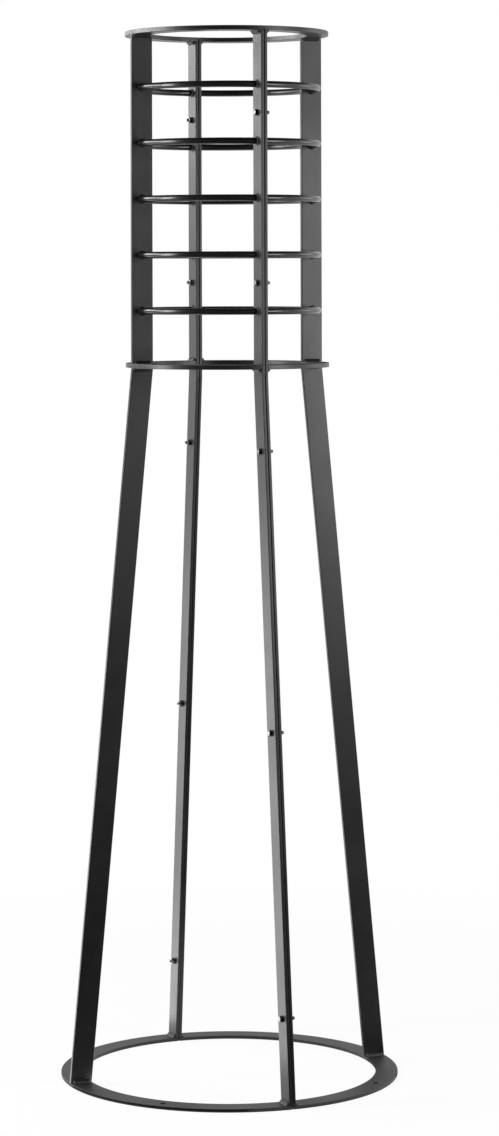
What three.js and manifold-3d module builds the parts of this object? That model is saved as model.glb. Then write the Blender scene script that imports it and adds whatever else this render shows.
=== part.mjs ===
// Steel tree guard: two welded halves of flats and round bar, bolted together round a tree.
// Millimetres, +Z up. The origin is on the ground at the middle of the base ring. The bolted end
// bars stand at the front (-Y) and the back (+Y), the middle bars at the left (-X) and the right.

import * as THREE from "three";
import { mergeVertices } from "three/addons/utils/BufferGeometryUtils.js";
import Module from "manifold-3d";

const wasm = await Module();
wasm.setup();

// Overall form: a straight tube of bars above the collar, and legs that spread below it.
const HEIGHT = 1900;
const COLLAR_UNDERSIDE = 1288;
const TUBE_RADIUS = 186;
const BASE_RADIUS = 307;

// Stock: every flat has the same width, and each use has its own thickness.
const FLAT_WIDTH = 40;
const TOP_THICKNESS = 8;
const COLLAR_THICKNESS = 8;
const BASE_THICKNESS = 6;
const MIDDLE_THICKNESS = 8;
const END_THICKNESS = 6;
const HOOP_DIAMETER = 12;
const HOOP_COUNT = 5;

// The end bars' edgewise bend: its drop below the collar and the radius of its outer edge.
const KNEE_DROP = 16;
const KNEE_RADIUS = 60;

// Weld fillets: the leg of the triangle, how far the metal runs into the bar, and how far each
// fillet stops short of the bar's edges.
const WELD_LEG = 6;
const WELD_ROOT = 1;
const WELD_STOP = 2;

// Fits: the gap left between pieces that touch, the open joint between the ends of two half rings,
// which lets the bolts draw the end bars together, and the radial clearance of round holes.
const SEAT_GAP = 0.3;
const RING_JOINT = 1.6;
const HOOP_CLEARANCE = 0.5;
const BOLT_CLEARANCE = 0.5;
const THREAD_CLEARANCE = 0.3;

// Fasteners: hexagon bolts and nuts through each pair of end bars, each on its washer. Each one
// along a pair stops at its own turn.
const BOLT_DIAMETER = 6;
const BOLT_LENGTH = 25;
const ACROSS_FLATS = 10;
const HEAD_HEIGHT = 4;
const NUT_HEIGHT = 5.2;
const WASHER_DIAMETER = 12;
const WASHER_THICKNESS = 1.6;
const WRENCH_TURN = Math.PI / 7;
const LEG_BOLT_INSET = 146;

// Ground anchors: holes in the base ring, halfway between the feet.
const ANCHOR_DIAMETER = 11;

// Facets of the round forms.
const RING_FACETS = 36;
const HOOP_STEPS = 24;
const HOOP_SIDES = 10;
const HOLE_FACETS = 16;
const SHANK_SIDES = 12;

// Heights and radii that follow from the driving sizes.
const collarTop = COLLAR_UNDERSIDE + COLLAR_THICKNESS;
const barTop = HEIGHT - TOP_THICKNESS - SEAT_GAP;
const barFoot = BASE_THICKNESS + SEAT_GAP;
const tubeMiddle = TUBE_RADIUS - FLAT_WIDTH / 2;
const baseMiddle = BASE_RADIUS - FLAT_WIDTH / 2;
const kneeHeight = COLLAR_UNDERSIDE - KNEE_DROP;

// The outer face of an end bar, measured from the plane that divides the two halves.
const endFace = SEAT_GAP / 2 + END_THICKNESS;

// A flat that leans outwards from a radius at one height to the base ring's rim at the foot.
function lean(topRadius, topHeight) {
  const slope = (BASE_RADIUS - topRadius) / (topHeight - barFoot);
  const angle = Math.atan(slope);
  const breadth = FLAT_WIDTH / Math.cos(angle);
  const outer = (height) => topRadius + (topHeight - height) * slope;
  return {
    angle,
    outer,
    inner: (height) => outer(height) - breadth,
    middle: (height) => outer(height) - breadth / 2,
  };
}

const endLean = lean(TUBE_RADIUS, kneeHeight);
const middleLean = lean(TUBE_RADIUS, COLLAR_UNDERSIDE);

// Five hoops with equal clear gaps to each other, the collar and the top ring.
const hoopSpace = HEIGHT - TOP_THICKNESS - collarTop;
const hoopGap = (hoopSpace - HOOP_COUNT * HOOP_DIAMETER) / (HOOP_COUNT + 1);
const hoopPitch = hoopGap + HOOP_DIAMETER;
const hoopHeights = Array.from(
  { length: HOOP_COUNT },
  (_, level) => collarTop + hoopGap + HOOP_DIAMETER / 2 + level * hoopPitch,
);

// Bolts: between the outermost hoops above the collar, and at both ends and the middle of the legs.
const legBoltTop = COLLAR_UNDERSIDE - LEG_BOLT_INSET;
const legBoltFoot = BASE_THICKNESS + LEG_BOLT_INSET;
const bolts = [
  { height: hoopHeights[HOOP_COUNT - 1] - hoopPitch / 2, radius: tubeMiddle },
  { height: hoopHeights[0] + hoopPitch / 2, radius: tubeMiddle },
  ...[legBoltTop, (legBoltTop + legBoltFoot) / 2, legBoltFoot].map((height) => ({
    height,
    radius: endLean.middle(height),
  })),
];

// Turns a closed geometry into a solid, and a solid into a geometry with flat facets.
function solidOf(geometry) {
  const bare = geometry.clone();
  bare.deleteAttribute("normal");
  bare.deleteAttribute("uv");
  const merged = mergeVertices(bare);
  return new wasm.Manifold(
    new wasm.Mesh({
      numProp: 3,
      vertProperties: merged.attributes.position.array,
      triVerts: new Uint32Array(merged.index.array),
    }),
  );
}

function geometryOf(solid) {
  const mesh = solid.getMesh();
  const geometry = new THREE.BufferGeometry();
  geometry.setAttribute("position", new THREE.BufferAttribute(mesh.vertProperties, mesh.numProp));
  geometry.setIndex(new THREE.BufferAttribute(mesh.triVerts, 1));
  const facets = geometry.toNonIndexed();
  facets.computeVertexNormals();
  return facets;
}

function drill(outline, across, up, diameter) {
  const hole = new THREE.Path();
  hole.absarc(across, up, diameter / 2, 0, 2 * Math.PI, true);
  outline.holes.push(hole);
}

// Half of a flat ring on the side of -X, lying on the plane of height zero. Its ends are cut
// square at a distance from the dividing plane.
function halfRing(outerRadius, thickness, endDistance, anchorAngles) {
  const innerRadius = outerRadius - FLAT_WIDTH;
  const outerTrim = Math.asin(endDistance / outerRadius);
  const innerTrim = Math.asin(endDistance / innerRadius);
  const back = Math.PI / 2;
  const front = 3 * back;
  const outline = new THREE.Shape();
  outline.absarc(0, 0, outerRadius, back + outerTrim, front - outerTrim, false);
  outline.absarc(0, 0, innerRadius, front - innerTrim, back + innerTrim, true);
  outline.closePath();
  for (const angle of anchorAngles) {
    drill(outline, baseMiddle * Math.cos(angle), baseMiddle * Math.sin(angle), ANCHOR_DIAMETER);
  }
  return new THREE.ExtrudeGeometry(outline, {
    depth: thickness,
    bevelEnabled: false,
    curveSegments: RING_FACETS / 2,
  });
}

// A flat bar from its outline in radius and height. It stands on edge in the plane of X and Z,
// with its thickness centred on that plane.
function standingFlat(outline, thickness) {
  const geometry = new THREE.ExtrudeGeometry(outline, {
    depth: thickness,
    bevelEnabled: false,
    curveSegments: HOLE_FACETS / 2,
  });
  geometry.translate(0, 0, -thickness / 2);
  geometry.rotateX(Math.PI / 2);
  return geometry;
}

// A weld fillet along a bar's broad face: a right-angled wedge that starts at a height and runs
// upwards or downwards. The face is at a distance from the plane of X and Z, on either side.
function fillet(middleRadius, height, upwards, face, side) {
  const wedge = new THREE.Shape();
  wedge.moveTo(-WELD_ROOT, 0);
  wedge.lineTo(WELD_LEG, 0);
  wedge.lineTo(0, WELD_LEG);
  wedge.lineTo(-WELD_ROOT, WELD_LEG);
  wedge.closePath();
  const run = FLAT_WIDTH - 2 * WELD_STOP;
  const geometry = new THREE.ExtrudeGeometry(wedge, { depth: run, bevelEnabled: false });
  geometry.translate(0, 0, -run / 2);
  geometry.rotateX(Math.PI / 2);
  geometry.rotateZ(side * Math.PI / 2);
  if (!upwards) geometry.rotateY(Math.PI);
  geometry.translate(middleRadius, side * face, height);
  return solidOf(geometry);
}

function withFillets(bar, fillets) {
  return geometryOf(fillets.reduce((joined, weld) => joined.add(weld), solidOf(bar)));
}

// The end bar: one flat from the base ring to the top ring with an edgewise bend under the collar.
// It has fillets only on its outer face, because its other face lies against its partner. The
// collar is welded from below on the front bars, and from above on the back ones.
function endBar(side, weldedAbove) {
  const bend = Math.tan(endLean.angle / 2);
  const innerRadius = TUBE_RADIUS - FLAT_WIDTH;
  const innerKnee = kneeHeight - FLAT_WIDTH * bend;
  const outerTangent = KNEE_RADIUS * bend;
  const innerTangent = (KNEE_RADIUS + FLAT_WIDTH) * bend;
  const tangentDrop = Math.cos(endLean.angle);
  const outline = new THREE.Shape();
  outline.moveTo(endLean.inner(barFoot), barFoot);
  outline.lineTo(endLean.outer(barFoot), barFoot);
  const outerLow = kneeHeight - outerTangent * tangentDrop;
  outline.lineTo(endLean.outer(outerLow), outerLow);
  outline.quadraticCurveTo(TUBE_RADIUS, kneeHeight, TUBE_RADIUS, kneeHeight + outerTangent);
  outline.lineTo(TUBE_RADIUS, barTop);
  outline.lineTo(innerRadius, barTop);
  outline.lineTo(innerRadius, innerKnee + innerTangent);
  const innerLow = innerKnee - innerTangent * tangentDrop;
  outline.quadraticCurveTo(innerRadius, innerKnee, endLean.inner(innerLow), innerLow);
  outline.closePath();
  for (const { height, radius } of bolts) {
    drill(outline, radius, height, BOLT_DIAMETER + 2 * BOLT_CLEARANCE);
  }
  const face = END_THICKNESS / 2;
  const collarWeld = weldedAbove ? collarTop + SEAT_GAP : COLLAR_UNDERSIDE - SEAT_GAP;
  return withFillets(standingFlat(outline, END_THICKNESS), [
    fillet(tubeMiddle, barTop, false, face, side),
    fillet(tubeMiddle, collarWeld, weldedAbove, face, side),
    fillet(endLean.middle(barFoot), barFoot, true, face, side),
  ]);
}

// The middle bar: a flat from the collar to the top ring, drilled for the hoops.
function middleBar() {
  const foot = collarTop + SEAT_GAP;
  const outline = new THREE.Shape();
  outline.moveTo(TUBE_RADIUS - FLAT_WIDTH, foot);
  outline.lineTo(TUBE_RADIUS, foot);
  outline.lineTo(TUBE_RADIUS, barTop);
  outline.lineTo(TUBE_RADIUS - FLAT_WIDTH, barTop);
  outline.closePath();
  for (const height of hoopHeights) {
    drill(outline, tubeMiddle, height, HOOP_DIAMETER + 2 * HOOP_CLEARANCE);
  }
  const face = MIDDLE_THICKNESS / 2;
  return withFillets(
    standingFlat(outline, MIDDLE_THICKNESS),
    [-1, 1].flatMap((side) => [
      fillet(tubeMiddle, barTop, false, face, side),
      fillet(tubeMiddle, foot, true, face, side),
    ]),
  );
}

// The middle leg: a leaning flat with both ends cut level, between the base ring and the collar.
function middleLeg() {
  const top = COLLAR_UNDERSIDE - SEAT_GAP;
  const outline = new THREE.Shape();
  outline.moveTo(middleLean.inner(barFoot), barFoot);
  outline.lineTo(middleLean.outer(barFoot), barFoot);
  outline.lineTo(middleLean.outer(top), top);
  outline.lineTo(middleLean.inner(top), top);
  outline.closePath();
  const face = MIDDLE_THICKNESS / 2;
  return withFillets(
    standingFlat(outline, MIDDLE_THICKNESS),
    [-1, 1].flatMap((side) => [
      fillet(middleLean.middle(top), top, false, face, side),
      fillet(middleLean.middle(barFoot), barFoot, true, face, side),
    ]),
  );
}

// Half of a hoop on the side of -X: round bar bent to an arc, with both ends cut flush where they
// butt against the end bars' outer faces.
class HoopArc extends THREE.Curve {
  getPoint(share, target = new THREE.Vector3()) {
    const angle = Math.PI * (share + 1 / 2);
    return target.set(tubeMiddle * Math.cos(angle), tubeMiddle * Math.sin(angle), 0);
  }
}

function halfHoop() {
  const section = new THREE.Shape();
  section.absarc(0, 0, HOOP_DIAMETER / 2, 0, 2 * Math.PI, false);
  const bent = new THREE.ExtrudeGeometry(section, {
    steps: HOOP_STEPS,
    curveSegments: HOOP_SIDES / 2,
    bevelEnabled: false,
    extrudePath: new HoopArc(),
  });
  const reach = 2 * TUBE_RADIUS;
  const slab = new THREE.BoxGeometry(reach, reach, reach);
  slab.translate(reach / 2 - endFace - SEAT_GAP, 0, 0);
  return geometryOf(solidOf(bent).subtract(solidOf(slab)));
}

// An outline made solid upright along Z between two heights.
function upright(outline, low, high) {
  const settings = { depth: high - low, bevelEnabled: false, curveSegments: SHANK_SIDES / 2 };
  const geometry = new THREE.ExtrudeGeometry(outline, settings);
  geometry.translate(0, 0, low);
  return solidOf(geometry);
}

function disc(diameter) {
  const outline = new THREE.Shape();
  outline.absarc(0, 0, diameter / 2, 0, 2 * Math.PI, false);
  return outline;
}

function hexagon() {
  const outline = new THREE.Shape();
  const cornerRadius = ACROSS_FLATS / 2 / Math.cos(Math.PI / 6);
  for (let corner = 0; corner < 6; corner += 1) {
    const angle = (corner * Math.PI) / 3;
    const place = [cornerRadius * Math.cos(angle), cornerRadius * Math.sin(angle)];
    if (corner === 0) outline.moveTo(...place);
    else outline.lineTo(...place);
  }
  outline.closePath();
  return outline;
}

// The bolt with the washer under its head: the washer's seat is on the plane of height zero and
// the shank runs along +Z.
function boltGeometry() {
  const headTop = -WASHER_THICKNESS - HEAD_HEIGHT;
  const washer = upright(disc(WASHER_DIAMETER), -WASHER_THICKNESS, 0);
  const head = upright(hexagon(), headTop, -WASHER_THICKNESS);
  const shank = upright(disc(BOLT_DIAMETER), headTop / 2, BOLT_LENGTH - WASHER_THICKNESS);
  return geometryOf(head.add(washer).add(shank));
}

// The nut with its washer, which seats on the plane of height zero.
function nutGeometry() {
  const washer = disc(WASHER_DIAMETER);
  const body = hexagon();
  for (const outline of [washer, body]) drill(outline, 0, 0, BOLT_DIAMETER + 2 * THREAD_CLEARANCE);
  const seat = upright(washer, 0, WASHER_THICKNESS);
  return geometryOf(seat.add(upright(body, WASHER_THICKNESS, WASHER_THICKNESS + NUT_HEIGHT)));
}

// Materials: one near-black powder coat on the welded halves, and blackened steel fasteners.
function powderCoat() {
  return new THREE.MeshStandardMaterial({ color: 0x252526, roughness: 0.45, metalness: 0 });
}

function blackSteel() {
  return new THREE.MeshStandardMaterial({ color: 0x565759, roughness: 0.35, metalness: 1 });
}

function piece(name, geometry, material) {
  const mesh = new THREE.Mesh(geometry, material);
  mesh.name = name;
  return mesh;
}

const guard = new THREE.Group();

// Shapes shared by the two halves.
const topRing = halfRing(TUBE_RADIUS, TOP_THICKNESS, RING_JOINT / 2, []);
const collar = halfRing(TUBE_RADIUS, COLLAR_THICKNESS, endFace + SEAT_GAP, []);
const anchorAngles = [(3 * Math.PI) / 4, (5 * Math.PI) / 4];
const baseRing = halfRing(BASE_RADIUS, BASE_THICKNESS, RING_JOINT / 2, anchorAngles);
const hoop = halfHoop();
const post = middleBar();
const leg = middleLeg();
const bolt = boltGeometry();
const nut = nutGeometry();

// Each half: built on the side of -X, and the right one turned by half a turn.
const halves = [
  { side: "left", turn: 0, near: "front", far: "back" },
  { side: "right", turn: Math.PI, near: "back", far: "front" },
];

for (const { side, turn, near, far } of halves) {
  const half = new THREE.Group();
  half.rotation.z = turn;
  guard.add(half);

  const rings = [
    ["top_ring", topRing, HEIGHT - TOP_THICKNESS],
    ["collar", collar, COLLAR_UNDERSIDE],
    ["base_ring", baseRing, 0],
  ];
  for (const [name, geometry, height] of rings) {
    const ring = piece(`${side}_${name}`, geometry, powderCoat());
    ring.position.z = height;
    half.add(ring);
  }

  hoopHeights.forEach((height, level) => {
    const ring = piece(`${side}_hoop_${level + 1}`, hoop, powderCoat());
    ring.position.z = height;
    half.add(ring);
  });

  for (const [name, geometry] of [["middle_bar", post], ["middle_leg", leg]]) {
    const bar = piece(`${side}_${name}`, geometry, powderCoat());
    bar.rotation.z = Math.PI;
    half.add(bar);
  }

  for (const [end, outwards] of [[near, -1], [far, 1]]) {
    const bar = piece(`${side}_${end}_end_bar`, endBar(outwards, end === "back"), powderCoat());
    bar.rotation.z = (outwards * Math.PI) / 2;
    bar.position.x = END_THICKNESS / 2 - endFace;
    half.add(bar);
  }

  // The near pair's bolts go in from this half, and their nuts are on the other half's face.
  bolts.forEach(({ height, radius }, place) => {
    const through = new THREE.Group();
    through.rotation.y = Math.PI / 2;
    through.position.set(-endFace - SEAT_GAP, -radius, height);
    const screw = piece(`${near}_bolt_${place + 1}`, bolt, blackSteel());
    const stop = piece(`${near}_nut_${place + 1}`, nut, blackSteel());
    stop.position.z = 2 * (endFace + SEAT_GAP);
    screw.rotation.z = (place + 1) * WRENCH_TURN;
    stop.rotation.z = -screw.rotation.z;
    through.add(screw, stop);
    half.add(through);
  });
}

export default guard;
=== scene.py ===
"""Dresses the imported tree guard: its flats, hoops, welds, bolts, coat and steel, in a studio."""

import math

import bmesh
import bpy
from mathutils import Matrix, Vector


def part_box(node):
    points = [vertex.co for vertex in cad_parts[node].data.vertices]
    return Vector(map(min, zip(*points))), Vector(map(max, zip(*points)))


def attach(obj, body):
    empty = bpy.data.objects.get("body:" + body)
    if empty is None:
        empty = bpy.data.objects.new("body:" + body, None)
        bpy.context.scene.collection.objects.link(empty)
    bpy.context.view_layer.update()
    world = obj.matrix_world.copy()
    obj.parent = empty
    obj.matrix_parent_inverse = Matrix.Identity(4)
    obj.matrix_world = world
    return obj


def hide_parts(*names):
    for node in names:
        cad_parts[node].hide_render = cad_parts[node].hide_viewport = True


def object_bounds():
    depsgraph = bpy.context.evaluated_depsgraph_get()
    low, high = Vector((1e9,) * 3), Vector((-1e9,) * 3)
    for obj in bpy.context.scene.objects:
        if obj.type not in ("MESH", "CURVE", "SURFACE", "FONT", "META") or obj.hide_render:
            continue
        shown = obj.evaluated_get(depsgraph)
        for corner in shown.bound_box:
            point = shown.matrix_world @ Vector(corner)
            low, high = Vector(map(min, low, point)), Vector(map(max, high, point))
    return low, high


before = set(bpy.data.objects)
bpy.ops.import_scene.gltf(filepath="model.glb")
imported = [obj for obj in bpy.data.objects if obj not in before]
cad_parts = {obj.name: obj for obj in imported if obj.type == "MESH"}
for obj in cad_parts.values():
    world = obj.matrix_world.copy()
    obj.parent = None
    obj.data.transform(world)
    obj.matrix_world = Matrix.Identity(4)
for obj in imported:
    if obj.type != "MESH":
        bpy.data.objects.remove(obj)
cad_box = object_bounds()


# Base ring: two half rings sawn from 40 mm plate strip, 6 mm thick, that lie on the ground under
# everything else. Each half has two anchor holes halfway between the feet. Its edges are softened
# before it gets the powder coat that the whole frame has, and dust dulls its upper face.

FLAT_WIDTH = 0.040
BASE_THICKNESS = 0.006
RING_EDGE = 0.0008
ARC_STEPS = 120
ANCHOR_RADIUS = 0.0055
HOLE_STEPS = 32
EDGE_FACETS = 3
MERGE_DISTANCE = 1e-6
SHARP_ANGLE = math.radians(50)
COAT_DARK = (0.008, 0.008, 0.0081, 1.0)
COAT_LIGHT = (0.012, 0.012, 0.0121, 1.0)
COAT_WORN = (0.022, 0.0222, 0.0226, 1.0)
WAVE_SHARE = 2.5
SHEEN_DRIFT = 0.04


def arc_points(radius, start, end, steps, centre=(0.0, 0.0)):
    """Points along an arc, from one angle to another."""
    turns = [start + (end - start) * step / steps for step in range(steps + 1)]
    return [(centre[0] + radius * math.cos(a), centre[1] + radius * math.sin(a)) for a in turns]


def hole(across, up, radius):
    """A round hole's rim, wound against the outline that it lies in."""
    return arc_points(radius, 2 * math.pi, 0.0, HOLE_STEPS, (across, up))[:-1]


def cut_flat(name, outline, holes, thickness, softness, stand):
    """A flat cut to an outline, its edges softened. stand maps its drawing to the frame."""
    curve = bpy.data.curves.new(name, "CURVE")
    curve.dimensions = "2D"
    curve.fill_mode = "BOTH"
    curve.extrude = thickness / 2 - softness
    curve.bevel_depth = softness
    curve.bevel_resolution = EDGE_FACETS
    curve.offset = -softness
    for loop in (outline, *holes):
        spline = curve.splines.new("POLY")
        spline.points.add(len(loop) - 1)
        for point, (across, up) in zip(spline.points, loop):
            point.co = (across, up, 0.0, 1.0)
        spline.use_cyclic_u = True
    drawn = bpy.data.objects.new(name + "_outline", curve)
    bpy.context.scene.collection.objects.link(drawn)
    shape = drawn.evaluated_get(bpy.context.evaluated_depsgraph_get())
    mesh = bpy.data.meshes.new_from_object(shape)
    bpy.data.objects.remove(drawn)
    mesh.transform(stand)
    return finished(name, mesh)


def finished(name, mesh):
    """A closed mesh as a smooth-shaded piece at the origin, its normals pointing out."""
    shape = bmesh.new()
    shape.from_mesh(mesh)
    bmesh.ops.remove_doubles(shape, verts=shape.verts, dist=MERGE_DISTANCE)
    bmesh.ops.recalc_face_normals(shape, faces=shape.faces)
    shape.to_mesh(mesh)
    shape.free()
    mesh.shade_smooth()
    mesh.set_sharp_from_angle(angle=SHARP_ANGLE)
    piece = bpy.data.objects.new(name, mesh)
    bpy.context.scene.collection.objects.link(piece)
    even = piece.modifiers.new("even_shading", "WEIGHTED_NORMAL")
    even.keep_sharp = True
    return piece


def wear_in(piece, material, slot, *nodes):
    """Gives a piece its finish, its place on the body, and the frame nodes that it stands for."""
    piece.data.materials.clear()
    piece.data.materials.append(material)
    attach(piece, "root")
    if nodes:
        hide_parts(*nodes)


def put(tree, kind, settings=None, inputs=None):
    """Adds a node to a tree, sets its properties, and sets or links its inputs."""
    node = tree.nodes.new(kind)
    for key, value in (settings or {}).items():
        setattr(node, key, value)
    for key, value in (inputs or {}).items():
        if isinstance(value, bpy.types.NodeSocket):
            tree.links.new(value, node.inputs[key])
        else:
            node.inputs[key].default_value = value
    return node


def new_group(name, kind, inputs, outputs):
    """A node group with named sockets. Returns the tree, its input node and its output node."""
    tree = bpy.data.node_groups.new(name, kind)
    for label, (socket, value) in inputs.items():
        made = tree.interface.new_socket(label, in_out="INPUT", socket_type=socket)
        if value is not None:
            made.default_value = value
    for label, socket in outputs.items():
        tree.interface.new_socket(label, in_out="OUTPUT", socket_type=socket)
    return tree, tree.nodes.new("NodeGroupInput"), tree.nodes.new("NodeGroupOutput")


def grain_group():
    """The skin of a powder coat: fine peel, a slow waviness, and uneven tone."""
    number = "NodeSocketFloat"
    tree, given, out = new_group(
        "coat_grain",
        "ShaderNodeTree",
        {"Peel Scale": (number, 900.0), "Wave Scale": (number, 35.0)},
        {"Tone": number, "Height": number, "Sheen": number},
    )
    place = put(tree, "ShaderNodeTexCoord").outputs["Object"]
    peel = put(
        tree,
        "ShaderNodeTexNoise",
        inputs={
            "Vector": place,
            "Scale": given.outputs["Peel Scale"],
            "Detail": 3.0,
            "Roughness": 0.55,
        },
    )
    wave = put(
        tree,
        "ShaderNodeTexNoise",
        inputs={"Vector": place, "Scale": given.outputs["Wave Scale"], "Detail": 4.0},
    )
    slow = put(tree, "ShaderNodeTexNoise", inputs={"Vector": place, "Scale": 7.0, "Detail": 2.0})
    height = put(
        tree,
        "ShaderNodeMath",
        {"operation": "MULTIPLY_ADD"},
        {0: wave.outputs["Fac"], 1: WAVE_SHARE, 2: peel.outputs["Fac"]},
    )
    blend = put(
        tree,
        "ShaderNodeMath",
        {"operation": "ADD"},
        {0: wave.outputs["Fac"], 1: slow.outputs["Fac"]},
    )
    tone = put(
        tree,
        "ShaderNodeMapRange",
        inputs={"Value": blend.outputs[0], "From Min": 0.7, "From Max": 1.3},
    )
    sheen = put(
        tree,
        "ShaderNodeMapRange",
        inputs={"Value": slow.outputs["Fac"], "From Min": 0.3, "From Max": 0.7},
    )
    tree.links.new(tone.outputs[0], out.inputs["Tone"])
    tree.links.new(height.outputs[0], out.inputs["Height"])
    tree.links.new(sheen.outputs[0], out.inputs["Sheen"])
    return tree


def edge_group():
    """Where the coat is thin or rubbed: on the edges within a width, broken up by noise."""
    number = "NodeSocketFloat"
    tree, given, out = new_group(
        "edge_wear",
        "ShaderNodeTree",
        {"Width": (number, 0.0012), "Break": (number, 140.0)},
        {"Edge": number},
    )
    round_off = put(tree, "ShaderNodeBevel", {"samples": 4}, {"Radius": given.outputs["Width"]})
    flat = put(tree, "ShaderNodeNewGeometry")
    likeness = put(
        tree,
        "ShaderNodeVectorMath",
        {"operation": "DOT_PRODUCT"},
        {0: round_off.outputs["Normal"], 1: flat.outputs["Normal"]},
    )
    bend = put(
        tree,
        "ShaderNodeMapRange",
        inputs={"Value": likeness.outputs["Value"], "From Min": 0.99, "From Max": 0.75},
    )
    place = put(tree, "ShaderNodeTexCoord").outputs["Object"]
    patches = put(
        tree,
        "ShaderNodeTexNoise",
        inputs={"Vector": place, "Scale": given.outputs["Break"], "Detail": 3.0},
    )
    broken = put(
        tree,
        "ShaderNodeMapRange",
        inputs={
            "Value": patches.outputs["Fac"],
            "From Min": 0.35,
            "From Max": 0.65,
            "To Min": 0.25,
        },
    )
    edge = put(
        tree,
        "ShaderNodeMath",
        {"operation": "MULTIPLY"},
        {0: bend.outputs[0], 1: broken.outputs[0]},
    )
    tree.links.new(edge.outputs[0], out.inputs["Edge"])
    return tree


def coat(name, rough, light=COAT_LIGHT, peel_scale=900.0, wave_scale=35.0, depth=0.00004, dust=0.0):
    """A powder coat: drifting tones, worn edges, a fine peel, and dust that dulls level faces."""
    material = bpy.data.materials.new(name)
    material.use_nodes = True
    tree = material.node_tree
    surface = tree.nodes["Principled BSDF"]
    grain = put(
        tree,
        "ShaderNodeGroup",
        {"node_tree": GRAIN},
        {"Peel Scale": peel_scale, "Wave Scale": wave_scale},
    )
    edge = put(tree, "ShaderNodeGroup", {"node_tree": EDGE})
    body = put(
        tree,
        "ShaderNodeMix",
        {"data_type": "RGBA"},
        {"Factor": grain.outputs["Tone"], "A": COAT_DARK, "B": light},
    )
    rubbed = put(
        tree,
        "ShaderNodeMix",
        {"data_type": "RGBA"},
        {"Factor": edge.outputs["Edge"], "A": body.outputs["Result"], "B": COAT_WORN},
    )
    gloss = put(
        tree,
        "ShaderNodeMapRange",
        inputs={
            "Value": grain.outputs["Sheen"],
            "To Min": rough - SHEEN_DRIFT,
            "To Max": rough + SHEEN_DRIFT,
        },
    )
    facing = put(
        tree,
        "ShaderNodeSeparateXYZ",
        inputs={"Vector": put(tree, "ShaderNodeNewGeometry").outputs["Normal"]},
    )
    settled = put(
        tree,
        "ShaderNodeMapRange",
        inputs={"Value": facing.outputs["Z"], "From Min": 0.8, "To Max": dust},
    )
    dulled = put(
        tree,
        "ShaderNodeMath",
        {"operation": "ADD"},
        {0: gloss.outputs["Result"], 1: settled.outputs["Result"]},
    )
    skin = put(
        tree,
        "ShaderNodeBump",
        inputs={"Height": grain.outputs["Height"], "Distance": depth, "Strength": 1.0},
    )
    tree.links.new(rubbed.outputs["Result"], surface.inputs["Base Color"])
    tree.links.new(dulled.outputs[0], surface.inputs["Roughness"])
    tree.links.new(skin.outputs["Normal"], surface.inputs["Normal"])
    return material


GRAIN = grain_group()
EDGE = edge_group()
powder_coat = coat("powder_coat", rough=0.40)
base_coat = coat("base_coat", rough=0.46, dust=0.08)


def ring_outline(outer_radius, end_distance, side):
    """Half of a flat ring on one side, its ends cut square at a distance from the middle plane."""
    inner_radius = outer_radius - FLAT_WIDTH
    outer_trim = math.asin(end_distance / outer_radius)
    inner_trim = math.asin(end_distance / inner_radius)
    front = -math.pi / 2 if side > 0 else math.pi / 2
    back = front + math.pi
    outer = arc_points(outer_radius, front + outer_trim, back - outer_trim, ARC_STEPS)
    inner = arc_points(inner_radius, back - inner_trim, front + inner_trim, ARC_STEPS)
    return outer + inner


base_radius = -cad_box[0].x
base_top = BASE_THICKNESS
base_joint = -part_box("left_base_ring")[1].x
anchor_circle = base_radius - FLAT_WIDTH / 2
for side, name in ((-1, "left_base_ring"), (1, "right_base_ring")):
    anchors = [
        hole(side * anchor_circle * math.cos(a), anchor_circle * math.sin(a), ANCHOR_RADIUS)
        for a in (math.pi / 4, -math.pi / 4)
    ]
    lift = Matrix.Translation((0.0, 0.0, BASE_THICKNESS / 2))
    outline = ring_outline(base_radius, base_joint, side)
    ring = cut_flat("finished_" + name, outline, anchors, BASE_THICKNESS, RING_EDGE, lift)
    wear_in(ring, base_coat, "powder_coat", name)


# Collar: two half rings of 8 mm flat at the foot of the upright tube. Their ends stop at the end
# bars' outer faces, where they are welded, and the middle bars and legs are welded above and below.

COLLAR_THICKNESS = 0.008

upper_ring_coat = coat("upper_ring_coat", rough=0.40, dust=0.55)
for side, name in ((-1, "left_collar"), (1, "right_collar")):
    low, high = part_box(name)
    end_distance = low.x if side > 0 else -high.x
    tube_radius = high.y
    lift = Matrix.Translation((0.0, 0.0, (low.z + high.z) / 2))
    outline = ring_outline(tube_radius, end_distance, side)
    ring = cut_flat("finished_" + name, outline, [], COLLAR_THICKNESS, RING_EDGE, lift)
    wear_in(ring, upper_ring_coat, "powder_coat", name)
collar_low, collar_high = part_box("left_collar")[0].z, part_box("left_collar")[1].z


# Middle legs: plain 40 by 8 mm flats that lean out from the collar to the base ring, one on each
# side. Both ends are sawn level and fillet welded.

MIDDLE_THICKNESS = 0.008
BAR_EDGE = 0.0014


def standing(angle, through=0.0):
    """Maps across, up and through of a flat to radius, height and thickness at an angle."""
    upright = Matrix.Rotation(math.pi / 2, 4, "X")
    return Matrix.Rotation(angle, 4, "Z") @ Matrix.Translation((0.0, through, 0.0)) @ upright


def leaning_line(top_radius, top_height, foot_radius, foot_height):
    """The outer edge of a leaning flat, as its radius at a height, and the angle of its lean."""
    slope = (foot_radius - top_radius) / (top_height - foot_height)
    return lambda height: top_radius + (top_height - height) * slope, math.atan(slope)


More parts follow.
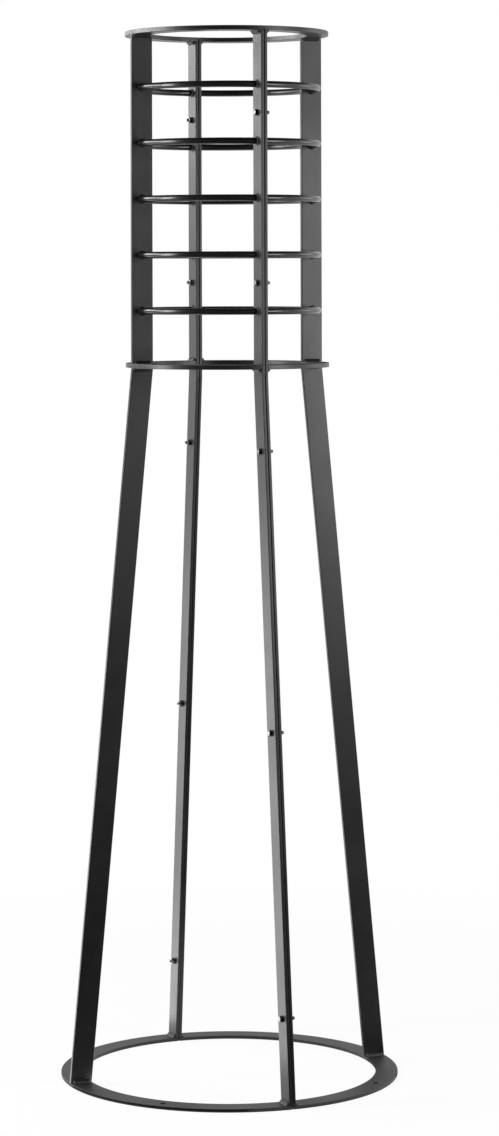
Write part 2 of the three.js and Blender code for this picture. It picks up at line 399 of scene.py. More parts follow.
leg_low, leg_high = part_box("left_middle_leg")
leg_edge, leg_angle = leaning_line(tube_radius, leg_high.z, base_radius, leg_low.z)
leg_breadth = FLAT_WIDTH / math.cos(leg_angle)
leg_outline = [
    (leg_edge(leg_low.z) - leg_breadth, leg_low.z),
    (leg_edge(leg_low.z), leg_low.z),
    (leg_edge(leg_high.z), leg_high.z),
    (leg_edge(leg_high.z) - leg_breadth, leg_high.z),
]
for angle, name in ((math.pi, "left_middle_leg"), (0.0, "right_middle_leg")):
    leg = cut_flat("finished_" + name, leg_outline, [], MIDDLE_THICKNESS, BAR_EDGE, standing(angle))
    wear_in(leg, powder_coat, "powder_coat", name)


# Middle bars: upright 40 by 8 mm flats from the collar to the top ring, one on each side. Each is
# drilled on its centre line for the five hoops.

HOOP_HOLE_RADIUS = 0.0065
HOOP_LEVELS = range(1, 6)

tube_middle = tube_radius - FLAT_WIDTH / 2
hoop_heights = [sum(end.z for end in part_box(f"left_hoop_{level}")) / 2 for level in HOOP_LEVELS]
bar_low, bar_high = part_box("left_middle_bar")
bar_outline = [
    (tube_radius - FLAT_WIDTH, bar_low.z),
    (tube_radius, bar_low.z),
    (tube_radius, bar_high.z),
    (tube_radius - FLAT_WIDTH, bar_high.z),
]
hoop_holes = [hole(tube_middle, height, HOOP_HOLE_RADIUS) for height in hoop_heights]
for angle, name in ((math.pi, "left_middle_bar"), (0.0, "right_middle_bar")):
    stand = standing(angle)
    bar = cut_flat("finished_" + name, bar_outline, hoop_holes, MIDDLE_THICKNESS, BAR_EDGE, stand)
    wear_in(bar, powder_coat, "powder_coat", name)


# End bars: 40 by 6 mm flats from the base ring to the top ring, bent edgewise just under the
# collar. They stand back to back in two pairs, at the front and the back, and each pair is drilled
# for five bolts that hold the two halves of the guard together.

END_THICKNESS = 0.006
END_EDGE = 0.0013
KNEE_DROP = 0.016
KNEE_RADIUS = 0.060
KNEE_STEPS = 8
BOLT_HOLE_RADIUS = 0.0035
BOLT_NUMBERS = range(1, 6)

end_low, end_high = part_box("left_front_end_bar")
knee_height = collar_low - KNEE_DROP
end_edge, end_angle = leaning_line(tube_radius, knee_height, base_radius, end_low.z)
end_breadth = FLAT_WIDTH / math.cos(end_angle)
outer_bend = KNEE_RADIUS * math.tan(end_angle / 2)
outer_knee = arc_points(
    KNEE_RADIUS,
    math.pi + end_angle,
    math.pi,
    KNEE_STEPS,
    (tube_radius + KNEE_RADIUS, knee_height + outer_bend),
)
inner_knee = arc_points(
    KNEE_RADIUS + FLAT_WIDTH,
    math.pi,
    math.pi + end_angle,
    KNEE_STEPS,
    (tube_radius + KNEE_RADIUS, knee_height + outer_bend),
)
end_outline = [
    (end_edge(end_low.z) - end_breadth, end_low.z),
    (end_edge(end_low.z), end_low.z),
    *outer_knee,
    (tube_radius, end_high.z),
    (tube_radius - FLAT_WIDTH, end_high.z),
    *inner_knee,
]
bolt_places = []
for place in BOLT_NUMBERS:
    low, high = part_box(f"front_bolt_{place}")
    bolt_places.append((-(low.y + high.y) / 2, (low.z + high.z) / 2))
bolt_holes = [hole(across, up, BOLT_HOLE_RADIUS) for across, up in bolt_places]
half_seam = -end_high.x
end_middle = half_seam + END_THICKNESS / 2
end_face = half_seam + END_THICKNESS
for side, half in ((-1, "left"), (1, "right")):
    for turn, end in ((-1, "front"), (1, "back")):
        name = f"{half}_{end}_end_bar"
        stand = standing(turn * math.pi / 2, -turn * side * end_middle)
        bar = cut_flat("finished_" + name, end_outline, bolt_holes, END_THICKNESS, END_EDGE, stand)
        wear_in(bar, powder_coat, "powder_coat", name)


# Hoops: five levels of 12 mm round bar, each level two half circles. Each half runs through the
# middle bar's hole and is cut flush where it butts against the end bars.

HOOP_RADIUS = 0.006
HOOP_SIDES = 32
HOOP_STEPS = 97


def hoop_tree():
    """Half hoops swept round an arc and repeated upwards."""
    number = "NodeSocketFloat"
    tree, given, out = new_group(
        "hoop_stack",
        "GeometryNodeTree",
        {
            "Hoop Radius": (number, 0.166),
            "Bar Radius": (number, 0.006),
            "Start": (number, 0.0),
            "Sweep": (number, math.pi),
            "First Height": (number, 1.4),
            "Pitch": (number, 0.1),
            "Count": ("NodeSocketInt", 5),
            "Finish": ("NodeSocketMaterial", None),
        },
        {"Geometry": "NodeSocketGeometry"},
    )
    arc = put(
        tree,
        "GeometryNodeCurveArc",
        inputs={
            "Resolution": HOOP_STEPS,
            "Radius": given.outputs["Hoop Radius"],
            "Start Angle": given.outputs["Start"],
            "Sweep Angle": given.outputs["Sweep"],
        },
    )
    section = put(
        tree,
        "GeometryNodeCurvePrimitiveCircle",
        inputs={"Resolution": HOOP_SIDES, "Radius": given.outputs["Bar Radius"]},
    )
    bar = put(
        tree,
        "GeometryNodeCurveToMesh",
        inputs={
            "Curve": arc.outputs["Curve"],
            "Profile Curve": section.outputs["Curve"],
            "Fill Caps": True,
        },
    )
    first = put(tree, "ShaderNodeCombineXYZ", inputs={"Z": given.outputs["First Height"]})
    step = put(tree, "ShaderNodeCombineXYZ", inputs={"Z": given.outputs["Pitch"]})
    levels = put(
        tree,
        "GeometryNodeMeshLine",
        {"mode": "OFFSET"},
        {
            "Count": given.outputs["Count"],
            "Start Location": first.outputs[0],
            "Offset": step.outputs[0],
        },
    )
    stack = put(
        tree,
        "GeometryNodeInstanceOnPoints",
        inputs={"Points": levels.outputs["Mesh"], "Instance": bar.outputs["Mesh"]},
    )
    solid = put(
        tree,
        "GeometryNodeRealizeInstances",
        inputs={"Geometry": stack.outputs["Instances"]},
    )
    coated = put(
        tree,
        "GeometryNodeSetMaterial",
        inputs={"Geometry": solid.outputs["Geometry"], "Material": given.outputs["Finish"]},
    )
    tree.links.new(coated.outputs["Geometry"], out.inputs["Geometry"])
    return tree


def grown(name, tree, values, points=None):
    """Runs a geometry tree on a mesh with named values, and returns its result as a plain piece."""
    seed = bpy.data.objects.new(name + "_points", points or bpy.data.meshes.new(name + "_points"))
    bpy.context.scene.collection.objects.link(seed)
    made = seed.modifiers.new("grow", "NODES")
    made.node_group = tree
    for item in tree.interface.items_tree:
        if item.in_out == "INPUT" and item.name in values:
            made[item.identifier] = values[item.name]
    shape = seed.evaluated_get(bpy.context.evaluated_depsgraph_get())
    mesh = bpy.data.meshes.new_from_object(shape)
    bpy.data.objects.remove(seed)
    return finished(name, mesh)


HOOP_STACK = hoop_tree()
hoop_coat = coat("hoop_coat", rough=0.27, peel_scale=1100.0, wave_scale=45.0, depth=0.00003)
hoop_trim = math.asin(end_face / tube_middle)
for side, half in ((-1, "left"), (1, "right")):
    hoops = grown(
        f"finished_{half}_hoops",
        HOOP_STACK,
        {
            "Hoop Radius": tube_middle,
            "Bar Radius": HOOP_RADIUS,
            "Start": -side * math.pi / 2 + hoop_trim,
            "Sweep": math.pi - 2 * hoop_trim,
            "First Height": hoop_heights[0],
            "Pitch": hoop_heights[1] - hoop_heights[0],
            "Count": len(hoop_heights),
            "Finish": hoop_coat,
        },
    )
    wear_in(hoops, hoop_coat, "powder_coat", *[f"{half}_hoop_{level}" for level in HOOP_LEVELS])


# Top ring: two half rings of 8 mm flat laid on the ends of all the bars. They meet over the bolted
# pairs with an open joint, as the base ring does, and close the guard's mouth with a smooth rim.

TOP_THICKNESS = 0.008

top_low, top_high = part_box("left_top_ring")
top_joint = -top_high.x
for side, name in ((-1, "left_top_ring"), (1, "right_top_ring")):
    lift = Matrix.Translation((0.0, 0.0, (top_low.z + top_high.z) / 2))
    outline = ring_outline(tube_radius, top_joint, side)
    ring = cut_flat("finished_" + name, outline, [], TOP_THICKNESS, RING_EDGE, lift)
    wear_in(ring, upper_ring_coat, "powder_coat", name)


# Welds: short fillet runs where the bars' broad faces meet the rings and the collar, and a small
# round fillet where each hoop enters a middle bar or butts on an end bar. They are run by hand, so
# each has ripples and its own size, and the powder coat lies over them.

WELD_LEG = 0.006
WELD_STOP = 0.002
HOOP_WELD_LEG = 0.0024
RIPPLE_PITCH = 0.0022
RIPPLE_DEPTH = 0.05
RIPPLE_STEPS = 5
BEAD_SIDES = 6
BEAD_WAIST = 0.86
RUN_START = 0.55
RUN_RISE = 6.0
ROOT_BITE = 0.0002


def ripple(station):
    """The swell of a bead along its run, one drop after another."""
    return 1.0 - RIPPLE_DEPTH * (1.0 - abs(math.sin(math.pi * station / RIPPLE_STEPS)))


def bead_section(leg):
    """The bulging face of a fillet from its toe on one plate to its toe on the other."""
    face = []
    for step in range(BEAD_SIDES + 1):
        share = step / BEAD_SIDES
        out = leg * (BEAD_WAIST + (1.0 - BEAD_WAIST) * (2 * share - 1) ** 2)
        turn = share * math.pi / 2
        face.append((out * math.cos(turn), out * math.sin(turn)))
    return face


def swept(name, rings, closed):
    """A skin over a row of equal loops, with its ends closed by faces, or joined end to end."""
    shape = bmesh.new()
    loops = [[shape.verts.new(point) for point in ring] for ring in rings]
    pairs = list(zip(loops, loops[1:]))
    if closed:
        pairs.append((loops[-1], loops[0]))
    count = len(loops[0])
    for here, there in pairs:
        for i in range(count):
            j = (i + 1) % count
            shape.faces.new((here[i], here[j], there[j], there[i]))
    if not closed:
        shape.faces.new(loops[0])
        shape.faces.new(list(reversed(loops[-1])))
    mesh = bpy.data.meshes.new(name)
    shape.to_mesh(mesh)
    shape.free()
    piece = bpy.data.objects.new(name, mesh)
    bpy.context.scene.collection.objects.link(piece)
    return piece


def straight_bead():
    """A fillet run along X, in the corner between the planes of Y and Z zero."""
    run = FLAT_WIDTH - 2 * WELD_STOP
    count = round(run / RIPPLE_PITCH) * RIPPLE_STEPS
    rings = []
    for station in range(count + 1):
        along = station / count
        taper = min(1.0, RUN_START + RUN_RISE * min(along, 1.0 - along))
        size = WELD_LEG * taper * ripple(station)
        face = [(run * (along - 0.5), y, z) for y, z in bead_section(size)]
        rings.append([(run * (along - 0.5), -ROOT_BITE, -ROOT_BITE), *face])
    return swept("fillet_run", rings, closed=False)


def round_bead():
    """A fillet run round a hoop that stands up along Z from the plane of height zero."""
    count = round(2 * math.pi * (HOOP_RADIUS + HOOP_WELD_LEG) / RIPPLE_PITCH) * RIPPLE_STEPS
    rings = []
    for station in range(count):
        angle = 2 * math.pi * station / count
        face = bead_section(HOOP_WELD_LEG * ripple(station))
        root = (HOOP_RADIUS - ROOT_BITE, -ROOT_BITE)
        loop = [root, *[(HOOP_RADIUS + out, up) for out, up in face]]
        rings.append([(out * math.cos(angle), out * math.sin(angle), up) for out, up in loop])
    return swept("fillet_round", rings, closed=True)


def setting_tree():
    """Copies of one piece set out on points, each turned as its point says, in uneven sizes."""
    number = "NodeSocketFloat"
    tree, given, out = new_group(
        "set_out",
        "GeometryNodeTree",
        {
            "Points": ("NodeSocketGeometry", None),
            "Copy": ("NodeSocketObject", None),
            "Least": (number, 1.0),
            "Most": (number, 1.0),
            "Seed": ("NodeSocketInt", 1),
            "Finish": ("NodeSocketMaterial", None),
        },
        {"Geometry": "NodeSocketGeometry"},
    )
    copy = put(tree, "GeometryNodeObjectInfo", inputs={"Object": given.outputs["Copy"]})
    turn = put(
        tree,
        "GeometryNodeInputNamedAttribute",
        {"data_type": "FLOAT_VECTOR"},
        {"Name": "turn"},
    )
    turned = put(tree, "FunctionNodeEulerToRotation", inputs={"Euler": turn.outputs["Attribute"]})
    size = put(
        tree,
        "FunctionNodeRandomValue",
        {"data_type": "FLOAT"},
        {2: given.outputs["Least"], 3: given.outputs["Most"], "Seed": given.outputs["Seed"]},
    )
    copies = put(
        tree,
        "GeometryNodeInstanceOnPoints",
        inputs={
            "Points": given.outputs["Points"],
            "Instance": copy.outputs["Geometry"],
            "Rotation": turned.outputs["Rotation"],
            "Scale": size.outputs[1],
        },
    )
    solid = put(
        tree,
        "GeometryNodeRealizeInstances",
        inputs={"Geometry": copies.outputs["Instances"]},
    )
    done = put(
        tree,
        "GeometryNodeSetMaterial",
        inputs={"Geometry": solid.outputs["Geometry"], "Material": given.outputs["Finish"]},
    )
    tree.links.new(done.outputs["Geometry"], out.inputs["Geometry"])
    return tree


def set_out(name, copy, places, finish, least=1.0, most=1.0, seed=1):
    """Sets copies out at places, each a point with the directions of the copy's own X, Y and Z."""
    points = bpy.data.meshes.new(name + "_places")
    points.from_pydata([place[0] for place in places], [], [])
    turns = points.attributes.new("turn", "FLOAT_VECTOR", "POINT")
    for value, (_, x, y, z) in zip(turns.data, places):
        value.vector = Matrix((x, y, z)).transposed().to_euler()
    values = {"Copy": copy, "Least": least, "Most": most, "Seed": seed, "Finish": finish}
    piece = grown(name, SET_OUT, values, points)
    bpy.data.objects.remove(copy)
    return piece


def corner(point, face, away):
    """A fillet's place: its middle, the way the bar's face looks, and the way off the plate."""
    face, away = Vector(face), Vector(away)
    return Vector(point), face.cross(away), face, away


SET_OUT = setting_tree()
UP, DOWN = (0.0, 0.0, 1.0), (0.0, 0.0, -1.0)
leg_top_middle = leg_edge(leg_high.z) - leg_breadth / 2
runs = []
for side in (-1, 1):
    for face in (-1, 1):
        off = face * MIDDLE_THICKNESS / 2
        looks = (0.0, face, 0.0)
        runs.append(corner((side * tube_middle, off, top_low.z), looks, DOWN))
        runs.append(corner((side * tube_middle, off, collar_high), looks, UP))
        runs.append(corner((side * leg_top_middle, off, collar_low), looks, DOWN))
        runs.append(corner((side * anchor_circle, off, base_top), looks, UP))
    for end in (-1, 1):
        looks = (side, 0.0, 0.0)
        runs.append(corner((side * end_face, end * tube_middle, top_low.z), looks, DOWN))
        runs.append(corner((side * end_face, end * anchor_circle, base_top), looks, UP))
        if end < 0:
            runs.append(corner((side * end_face, end * tube_middle, collar_low), looks, DOWN))
        else:
            runs.append(corner((side * end_face, end * tube_middle, collar_high), looks, UP))
rounds = []
for height in hoop_heights:
    for side in (-1, 1):
        for face in (-1, 1):
            spot = Vector((side * tube_middle, face * MIDDLE_THICKNESS / 2, height))
            rounds.append((spot, Vector((face, 0, 0)), Vector((0, 0, -1)), Vector((0, face, 0))))
        for end in (-1, 1):
            spot = Vector((side * end_face, end * tube_middle, height))
            rounds.append((spot, Vector((0, side, 0)), Vector((0, 0, 1)), Vector((side, 0, 0))))

weld_coat = coat(
    "weld_coat",
    rough=0.46,
    light=(0.013, 0.013, 0.0131, 1.0),
    peel_scale=600.0,
    wave_scale=260.0,
    depth=0.00012,
)
welds = set_out("fillet_welds", straight_bead(), runs, weld_coat, least=0.85, most=1.1, seed=4)
wear_in(welds, weld_coat, "powder_coat")
hoop_welds = set_out("hoop_welds", round_bead(), rounds, weld_coat, least=0.97, most=1.03, seed=9)
wear_in(hoop_welds, weld_coat, "powder_coat")


# Bolts and nuts: M6 hexagon bolts and nuts of blackened steel on flat washers, rubbed bare on their
# outer faces. Five go through each pair of end bars, from the left at the front and from the right
# at the back. The thread stands out of the nut, and each was stopped at its own turn of the wrench.

ACROSS_FLATS = 0.010
HEAD_HEIGHT = 0.004
CHAMFER_RADIUS = 0.0046
CHAMFER_SLOPE = math.tan(math.radians(30))
DISH_DEPTH = 0.0001
DISH_INNER = 0.4 * CHAMFER_RADIUS
DISH_OUTER = 0.6 * CHAMFER_RADIUS
WASHER_RADIUS = 0.006
WASHER_BORE = 0.0032
WASHER_THICKNESS = 0.0016
WASHER_EDGE = 0.0002
THREAD_RADIUS = 0.003
ROOT_RADIUS = 0.00254
THREAD_PITCH = 0.001
THREAD_SIDES = 32
TURN_STEPS = 8
CREST_BREADTH = 1.6
END_TAPER = 0.9
NUT_BORE = 0.98 * THREAD_RADIUS
NUT_SEAT_MOUTH, SEAT_MOUTH_DEPTH = 1.08 * THREAD_RADIUS, 0.0003
NUT_TOP_MOUTH, TOP_MOUTH_DEPTH = 1.12 * THREAD_RADIUS, 0.0004
HEX_STEPS = 60
HALF_SIDE = math.pi / 6
WRENCH_TURN = math.pi / 7
HEAD_RUB = 2 * DISH_DEPTH
NUT_RUB = 4 * DISH_DEPTH
THREAD_RUB = 3 * THREAD_PITCH
STEEL_DARK = (0.045, 0.045, 0.046, 1.0)
STEEL_LIGHT = (0.13, 0.13, 0.132, 1.0)
STEEL_WORN = (0.42, 0.42, 0.43, 1.0)
STEEL_BARE = (0.27, 0.27, 0.275, 1.0)


def hex_radius(angle):
    """The distance from a hexagon's axis to its side at an angle."""
    lean = angle % (2 * HALF_SIDE) - HALF_SIDE
    return ACROSS_FLATS / 2 / math.cos(lean)


def hex_ring(level):
    """A loop round a hexagon. level gives the height from the distance to the axis."""
    loop = []
    for step in range(HEX_STEPS):
        angle = 2 * math.pi * step / HEX_STEPS
        out = hex_radius(angle)
        loop.append((out * math.cos(angle), out * math.sin(angle), level(out)))
    return loop


def round_ring(radius, height):
    """A round loop about the axis at a height."""
    turns = [2 * math.pi * step / HEX_STEPS for step in range(HEX_STEPS)]
    return [(radius * math.cos(a), radius * math.sin(a), height) for a in turns]


def chamfer(out):
    """How far a corner is turned down at a distance from the axis."""
    return max(0.0, out - CHAMFER_RADIUS) * CHAMFER_SLOPE


def joined(first, second):
    """Two loose shapes as one."""
    shape = bmesh.new()
    shape.from_mesh(first.data)
    shape.from_mesh(second.data)
    shape.to_mesh(first.data)
    shape.free()
    bpy.data.objects.remove(second)
    return first


def washer_shape(low, high):
    """A flat washer with softened rims, between two heights."""
    return swept(
        "washer",
        [
            round_ring(WASHER_BORE, low),
            round_ring(WASHER_RADIUS - WASHER_EDGE, low),
            round_ring(WASHER_RADIUS, low + WASHER_EDGE),
            round_ring(WASHER_RADIUS, high - WASHER_EDGE),
            round_ring(WASHER_RADIUS - WASHER_EDGE, high),
            round_ring(WASHER_BORE, high),
        ],
        closed=True,
    )


def thread_shape(start, end):
    """A threaded shank along Z between two heights, its last turn tapered off."""
    rows = round((end - start) / THREAD_PITCH * TURN_STEPS)
    rings = []
    for row in range(rows + 1):
        height = start + (end - start) * row / rows
        loop = []
        for step in range(THREAD_SIDES):
            angle = 2 * math.pi * step / THREAD_SIDES
            phase = (height / THREAD_PITCH - step / THREAD_SIDES) % 1.0
            crest = min(1.0, CREST_BREADTH * (1.0 - abs(2.0 * phase - 1.0)))
            radius = ROOT_RADIUS + (THREAD_RADIUS - ROOT_RADIUS) * crest
            radius = min(radius, ROOT_RADIUS + max(0.0, end - height) * END_TAPER)
            loop.append((radius * math.cos(angle), radius * math.sin(angle), height))
        rings.append(loop)
    return swept("bolt_shank", rings, closed=False)


def bolt_shape():
    """A hexagon bolt and its washer, which seats on the plane of height zero, its shank along Z."""
    seat = -WASHER_THICKNESS
    top = seat - HEAD_HEIGHT
    head = swept(
        "bolt_head",
        [
            round_ring(DISH_INNER, top + DISH_DEPTH),
            round_ring(DISH_OUTER, top),
            round_ring(CHAMFER_RADIUS, top),
            hex_ring(lambda out: top + chamfer(out)),
            hex_ring(lambda out: seat - chamfer(out) / 2),
            round_ring(CHAMFER_RADIUS, seat),
            round_ring(THREAD_RADIUS, seat),
        ],
        closed=False,
    )
    bolt = joined(joined(head, washer_shape(seat, 0.0)), thread_shape(seat, thread_end))
    return rub(bolt, top + HEAD_RUB, thread_end - THREAD_RUB)


def nut_shape():
    """A hexagon nut, chamfered on both faces, and its washer, which seats on the plane of zero."""
    seat = WASHER_THICKNESS
    body = swept(
        "nut",
        [
            round_ring(NUT_BORE, seat + SEAT_MOUTH_DEPTH),
            round_ring(NUT_SEAT_MOUTH, seat),
            round_ring(CHAMFER_RADIUS, seat),
            hex_ring(lambda out: seat + chamfer(out)),
            hex_ring(lambda out: nut_top - chamfer(out)),
            round_ring(CHAMFER_RADIUS, nut_top),
            round_ring(NUT_TOP_MOUTH, nut_top),
            round_ring(NUT_BORE, nut_top - TOP_MOUTH_DEPTH),
        ],
        closed=True,
    )
    return rub(joined(body, washer_shape(0.0, seat)), -seat, nut_top - NUT_RUB)


def rub(piece, low, high):
    """Marks where the black is rubbed off: outside two heights along the axis."""
    marks = piece.data.attributes.new("rubbed", "FLOAT", "POINT")
    for mark, point in zip(marks.data, piece.data.vertices):
        mark.value = float(not low < point.co.z < high)
    return piece


def black_steel():
    """Blackened bolt steel: dark grey, with fine working marks, duller patches and rubbed faces."""
    material = bpy.data.materials.new("black_steel")
    material.use_nodes = True
    tree = material.node_tree
    surface = tree.nodes["Principled BSDF"]
    place = put(tree, "ShaderNodeTexCoord").outputs["Object"]
    patches = put(
        tree,
        "ShaderNodeTexNoise",
        inputs={"Vector": place, "Scale": 220.0, "Detail": 4.0},
    )
    marks = put(
        tree,
        "ShaderNodeTexNoise",
        inputs={"Vector": place, "Scale": 1800.0, "Detail": 2.0},
    )
    tone = put(
        tree,
        "ShaderNodeMix",
        {"data_type": "RGBA"},
        {"Factor": patches.outputs["Fac"], "A": STEEL_DARK, "B": STEEL_LIGHT},
    )
    edge = put(tree, "ShaderNodeGroup", {"node_tree": EDGE}, {"Width": 0.0004, "Break": 600.0})
    worn = put(
        tree,
        "ShaderNodeMix",
        {"data_type": "RGBA"},
        {"Factor": edge.outputs["Edge"], "A": tone.outputs["Result"], "B": STEEL_WORN},
    )
    rubbed = put(tree, "ShaderNodeAttribute", {"attribute_name": "rubbed"})
    bare = put(
        tree,
        "ShaderNodeMix",
        {"data_type": "RGBA"},
        {"Factor": rubbed.outputs["Fac"], "A": worn.outputs["Result"], "B": STEEL_BARE},
    )
    gloss = put(
        tree,
        "ShaderNodeMapRange",
        inputs={"Value": patches.outputs["Fac"], "To Min": 0.24, "To Max": 0.42},
    )
    skin = put(
        tree,
        "ShaderNodeBump",
        inputs={"Height": marks.outputs["Fac"], "Distance": 0.00002, "Strength": 1.0},
    )
    surface.inputs["Metallic"].default_value = 1.0
    tree.links.new(bare.outputs["Result"], surface.inputs["Base Color"])
    tree.links.new(gloss.outputs["Result"], surface.inputs["Roughness"])
    tree.links.new(skin.outputs["Normal"], surface.inputs["Normal"])
    return material


def wrenched(spot, side, turn):
    """A fastener's place on a face that looks along X or against it, turned about its axis."""
    across, up = Vector((0, side, 0)), Vector(UP)
    lean = turn - HALF_SIDE
    first = across * math.cos(lean) + up * math.sin(lean)
    second = up * math.cos(lean) - across * math.sin(lean)
    return Vector(spot), first, second, Vector((side, 0, 0))


nut_low, nut_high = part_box("front_nut_1")
nut_top = nut_high.x - nut_low.x
thread_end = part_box("front_bolt_1")[1].x + end_face
fastener_steel = black_steel()
for side, end, outwards in ((1, "front", -1), (-1, "back", 1)):
    heads, seats = [], []
    for place, (radius, height) in zip(BOLT_NUMBERS, bolt_places):
        turn = place * WRENCH_TURN
        heads.append(wrenched((-side * end_face, outwards * radius, height), side, turn))
        seats.append(wrenched((side * end_face, outwards * radius, height), side, -turn))
    bolts = set_out(f"finished_{end}_bolts", bolt_shape(), heads, fastener_steel)
    wear_in(bolts, fastener_steel, "fastener_steel", *[f"{end}_bolt_{n}" for n in BOLT_NUMBERS])
    nuts = set_out(f"finished_{end}_nuts", nut_shape(), seats, fastener_steel)
    wear_in(nuts, fastener_steel, "fastener_steel", *[f"{end}_nut_{n}" for n in BOLT_NUMBERS])


# Studio: a wide pale floor under a white surround, soft lamps round the guard and on the floor
# behind it, dark sheets that only reflections see, which paint dark reflections on the guard,
# and a level camera at the photograph's angle, with its frame shifted down.

CAMERA_DISTANCE = 6.2588
CAMERA_HEIGHT = 1.4628
CAMERA_AZIMUTH = math.radians(21.093)
CAMERA_ROLL = math.radians(-0.162)
FOCAL_PIXELS = 3423.8
PHOTO_WIDTH, PHOTO_HEIGHT = 499, 1136
HORIZON_PIXEL = (227.235, 271.35)

camera_data = bpy.data.cameras.new("camera")
camera_data.sensor_width = 36.0
camera_data.lens = FOCAL_PIXELS * camera_data.sensor_width / PHOTO_HEIGHT
camera_data.shift_x = (PHOTO_WIDTH / 2 - HORIZON_PIXEL[0]) / PHOTO_HEIGHT
camera_data.shift_y = (HORIZON_PIXEL[1] - PHOTO_HEIGHT / 2) / PHOTO_HEIGHT
camera = bpy.data.objects.new("camera", camera_data)
bpy.context.scene.collection.objects.link(camera)
camera.matrix_world = (
    Matrix.Translation(
        (
            -CAMERA_DISTANCE * math.sin(CAMERA_AZIMUTH),
            -CAMERA_DISTANCE * math.cos(CAMERA_AZIMUTH),
            CAMERA_HEIGHT,
        )
    )
    @ Matrix.Rotation(-CAMERA_AZIMUTH, 4, "Z")
    @ Matrix.Rotation(math.pi / 2, 4, "X")
    @ Matrix.Rotation(CAMERA_ROLL, 4, "Z")
)
bpy.context.scene.camera = camera


def seen_directly(tree):
    """One where the camera, a reflection or a clear view looks, zero where light only bounces."""
    path = put(tree, "ShaderNodeLightPath")
    either = put(
        tree,
        "ShaderNodeMath",
        {"operation": "MAXIMUM"},
        {0: path.outputs["Is Camera Ray"], 1: path.outputs["Is Glossy Ray"]},
    )
    every = put(
        tree,
        "ShaderNodeMath",
        {"operation": "MAXIMUM"},
        {0: either.outputs[0], 1: path.outputs["Is Transmission Ray"]},
    )
    return every.outputs[0]


AMBIENT = 0.3
FLOOR_SIZE = 80.0
FLOOR_WHITE = 0.9
FLOOR_COLOUR = (FLOOR_WHITE, FLOOR_WHITE, FLOOR_WHITE, 1.0)
POOL_RADIUS = 0.6
POOL_EDGE = 2.2

world = bpy.data.worlds.new("surround")
bpy.context.scene.world = world
world.use_nodes = True
surround = world.node_tree
background = surround.nodes["Background"]
background.inputs["Color"].default_value = (1.0, 1.0, 1.0, 1.0)
strength = put(
    surround,
    "ShaderNodeMapRange",
    inputs={"Value": seen_directly(surround), "To Min": AMBIENT, "To Max": 1.0},
)
surround.links.new(strength.outputs["Result"], background.inputs["Strength"])

floor_mesh = bpy.data.meshes.new("floor")
reach = FLOOR_SIZE / 2
corners = [(-reach, -reach, 0.0), (reach, -reach, 0.0), (reach, reach, 0.0), (-reach, reach, 0.0)]
floor_mesh.from_pydata(corners, [], [(0, 1, 2, 3)])
floor = bpy.data.objects.new("floor", floor_mesh)
bpy.context.scene.collection.objects.link(floor)
pale = bpy.data.materials.new("pale_floor")
pale.use_nodes = True
ground = pale.node_tree
ground.nodes.remove(ground.nodes["Principled BSDF"])
matt = put(ground, "ShaderNodeBsdfDiffuse", inputs={"Color": FLOOR_COLOUR})
glow = put(ground, "ShaderNodeEmission", inputs={"Color": (1.0, 1.0, 1.0, 1.0), "Strength": 1.0})
away = put(
    ground,
    "ShaderNodeVectorMath",
    {"operation": "LENGTH"},
    {0: put(ground, "ShaderNodeTexCoord").outputs["Object"]},
)
backdrop = put(
    ground,
    "ShaderNodeMapRange",
    {"interpolation_type": "SMOOTHSTEP"},
    {
        "Value": away.outputs["Value"],
        "From Min": POOL_RADIUS,
        "From Max": POOL_EDGE,
        "To Min": FLOOR_WHITE,
        "To Max": 1.0,
    },
)
amount = put(
    ground,
    "ShaderNodeMath",
    {"operation": "MULTIPLY"},
    {0: seen_directly(ground), 1: backdrop.outputs["Result"]},
)
mixed = put(
    ground,
    "ShaderNodeMixShader",
    inputs={0: amount.outputs[0], 1: matt.outputs[0], 2: glow.outputs[0]},
)
ground.links.new(mixed.outputs[0], ground.nodes["Material Output"].inputs["Surface"])
floor_mesh.materials.append(pale)


LAMP_DISTANCE = 2.3
LAMP_LIFT = 0.006
FLOOR_LAMP_HEADING = Matrix.Rotation(math.radians(112.0), 4, "Z")
FLOOR_LAMP_WIDTH = 0.325


def lamp(name, breadth, length, radiance, stand):
    """A soft rectangular lamp of an even radiance, unseen by the camera."""
    light = bpy.data.lights.new(name, "AREA")
    light.shape = "RECTANGLE"
    light.size = breadth
    light.size_y = length
    light.energy = radiance * math.pi * breadth * length
    holder = bpy.data.objects.new(name, light)
    bpy.context.scene.collection.objects.link(holder)
    holder.matrix_world = stand
    holder.visible_camera = False


def softbox(name, azimuth, low, high, width, radiance):
    """An upright lamp at a place round the guard and between two heights, facing the axis."""
    turn = math.radians(azimuth)
    place = (LAMP_DISTANCE * math.cos(turn), LAMP_DISTANCE * math.sin(turn), (low + high) / 2)
    aim = Vector((-math.cos(turn), -math.sin(turn), 0.0)).to_track_quat("-Z", "Y")
    lamp(name, width, high - low, radiance, Matrix.Translation(place) @ aim.to_matrix().to_4x4())


def floor_lamp(name, aside, near, far, radiance):
    """A lamp that lies on the floor and faces up, between two distances from the axis."""
    middle = Matrix.Translation(((near + far) / 2, aside, LAMP_LIFT))
    facing_up = Matrix.Rotation(math.pi, 4, "X")
    lamp(name, far - near, FLOOR_LAMP_WIDTH, radiance, FLOOR_LAMP_HEADING @ middle @ facing_up)


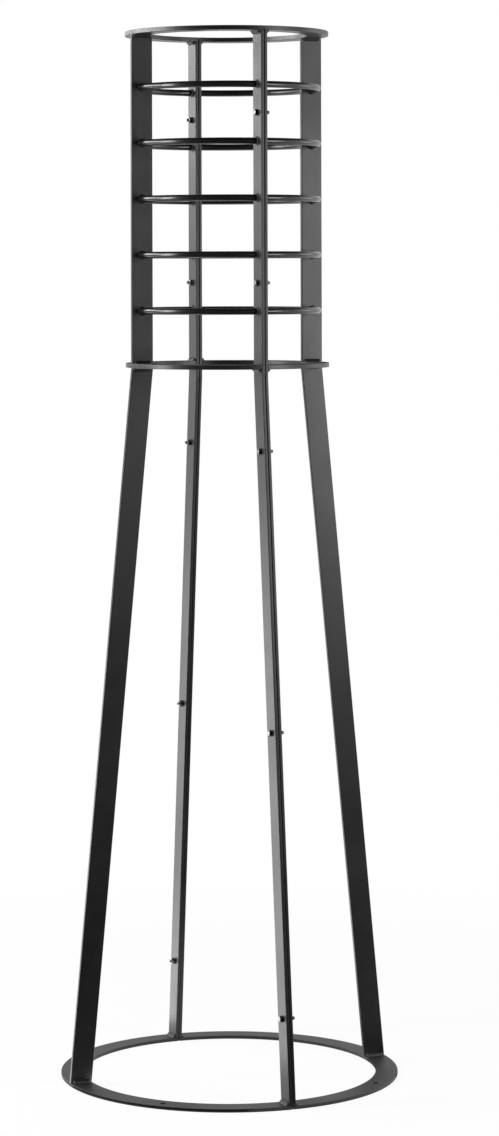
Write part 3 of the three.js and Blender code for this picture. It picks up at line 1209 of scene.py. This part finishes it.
softbox("right_front", azimuth=-55.0, low=0.85, high=2.10, width=0.95, radiance=8.6)
softbox("right", azimuth=0.0, low=1.20, high=2.10, width=0.95, radiance=2.4)
softbox("back_high", azimuth=105.0, low=1.70, high=2.50, width=0.80, radiance=2.6)
softbox("left_back_high", azimuth=143.0, low=1.98, high=2.36, width=1.50, radiance=18.0)
softbox("left_back_low", azimuth=122.0, low=0.02, high=0.70, width=0.80, radiance=4.4)
softbox("left", azimuth=172.0, low=0.90, high=2.80, width=0.60, radiance=15.0)
floor_lamp("floor_inside", aside=FLOOR_LAMP_WIDTH / 2, near=0.05, far=1.60, radiance=2.4)
floor_lamp("floor_behind", aside=-FLOOR_LAMP_WIDTH / 2, near=0.40, far=1.60, radiance=2.4)

SCREEN_START, SCREEN_END = math.radians(-180.0), math.radians(-40.0)
SCREEN_NEAR, SCREEN_RADIUS = 0.32, 3.0
SCREEN_HEIGHT = 3.4
SCREEN_LIFT = 0.003
OVERHEAD_NEAR = 0.003
SCREEN_STEPS = 32
STRIP_REACH, STRIP_WIDTH = 0.42, 0.16
STRIP_LIFT = 0.002
STRIP_HEADING = Matrix.Rotation(math.radians(-68.0), 4, "Z")

# The dark sheets' finish, near black and fully rough: seen only in reflections, it paints dark
# reflections on the guard.
painted_dark_reflection = bpy.data.materials.new("painted_dark_reflection")
painted_dark_reflection.use_nodes = True
reflection_surface = painted_dark_reflection.node_tree.nodes["Principled BSDF"]
reflection_surface.inputs["Base Color"].default_value = (0.01, 0.01, 0.01, 1.0)
reflection_surface.inputs["Roughness"].default_value = 1.0
reflection_surface.inputs["Specular IOR Level"].default_value = 0.0


def spread(name, sheet):
    """Makes a dark sheet that only reflections see, to paint dark reflections: it casts no shadow
    and bounced light passes it by.
    """
    mesh = bpy.data.meshes.new(name)
    sheet.to_mesh(mesh)
    sheet.free()
    mesh.materials.append(painted_dark_reflection)
    screen = bpy.data.objects.new(name, mesh)
    bpy.context.scene.collection.objects.link(screen)
    screen.visible_camera = False
    screen.visible_diffuse = False
    screen.visible_shadow = False


def dark_screen(name, start, end, rows):
    """A dark sheet round the guard that paints dark reflections, through rows of a radius and a
    height.
    """
    sheet = bmesh.new()
    loops = []
    for radius, height in rows:
        turned = arc_points(radius, start, end, SCREEN_STEPS)
        loops.append([sheet.verts.new((x, y, height)) for x, y in turned])
    for lower, upper in zip(loops, loops[1:]):
        for i in range(SCREEN_STEPS):
            sheet.faces.new((lower[i], lower[i + 1], upper[i + 1], upper[i]))
    spread(name, sheet)


on_floor = [(SCREEN_NEAR, SCREEN_LIFT), (SCREEN_RADIUS, SCREEN_LIFT)]
upright = [(SCREEN_RADIUS, SCREEN_HEIGHT)]
overhead = [(OVERHEAD_NEAR, SCREEN_HEIGHT), (SCREEN_RADIUS, SCREEN_HEIGHT)]
# Painted dark reflections: one sheet lies on the floor and stands round the front of the guard, one
# hangs overhead.
dark_screen("front_screen", SCREEN_START, SCREEN_END, on_floor + upright)
dark_screen("overhead_screen", 0.0, 2 * math.pi, overhead)

# Painted dark reflections at the feet: dark strips on the floor, seen only in reflections, laid
# from each middle leg's foot towards the front.
half_strip = STRIP_WIDTH / 2
strip_outline = [
    (0.0, -half_strip),
    (STRIP_REACH, -half_strip),
    (STRIP_REACH, half_strip),
    (0.0, half_strip),
]
for name, foot in (("left_foot_strip", -anchor_circle), ("right_foot_strip", anchor_circle)):
    laid = Matrix.Translation((foot, 0.0, STRIP_LIFT)) @ STRIP_HEADING
    strip = bmesh.new()
    strip.faces.new([strip.verts.new(laid @ Vector((x, y, 0.0))) for x, y in strip_outline])
    spread(name, strip)

bpy.context.scene.view_settings.view_transform = "Standard"
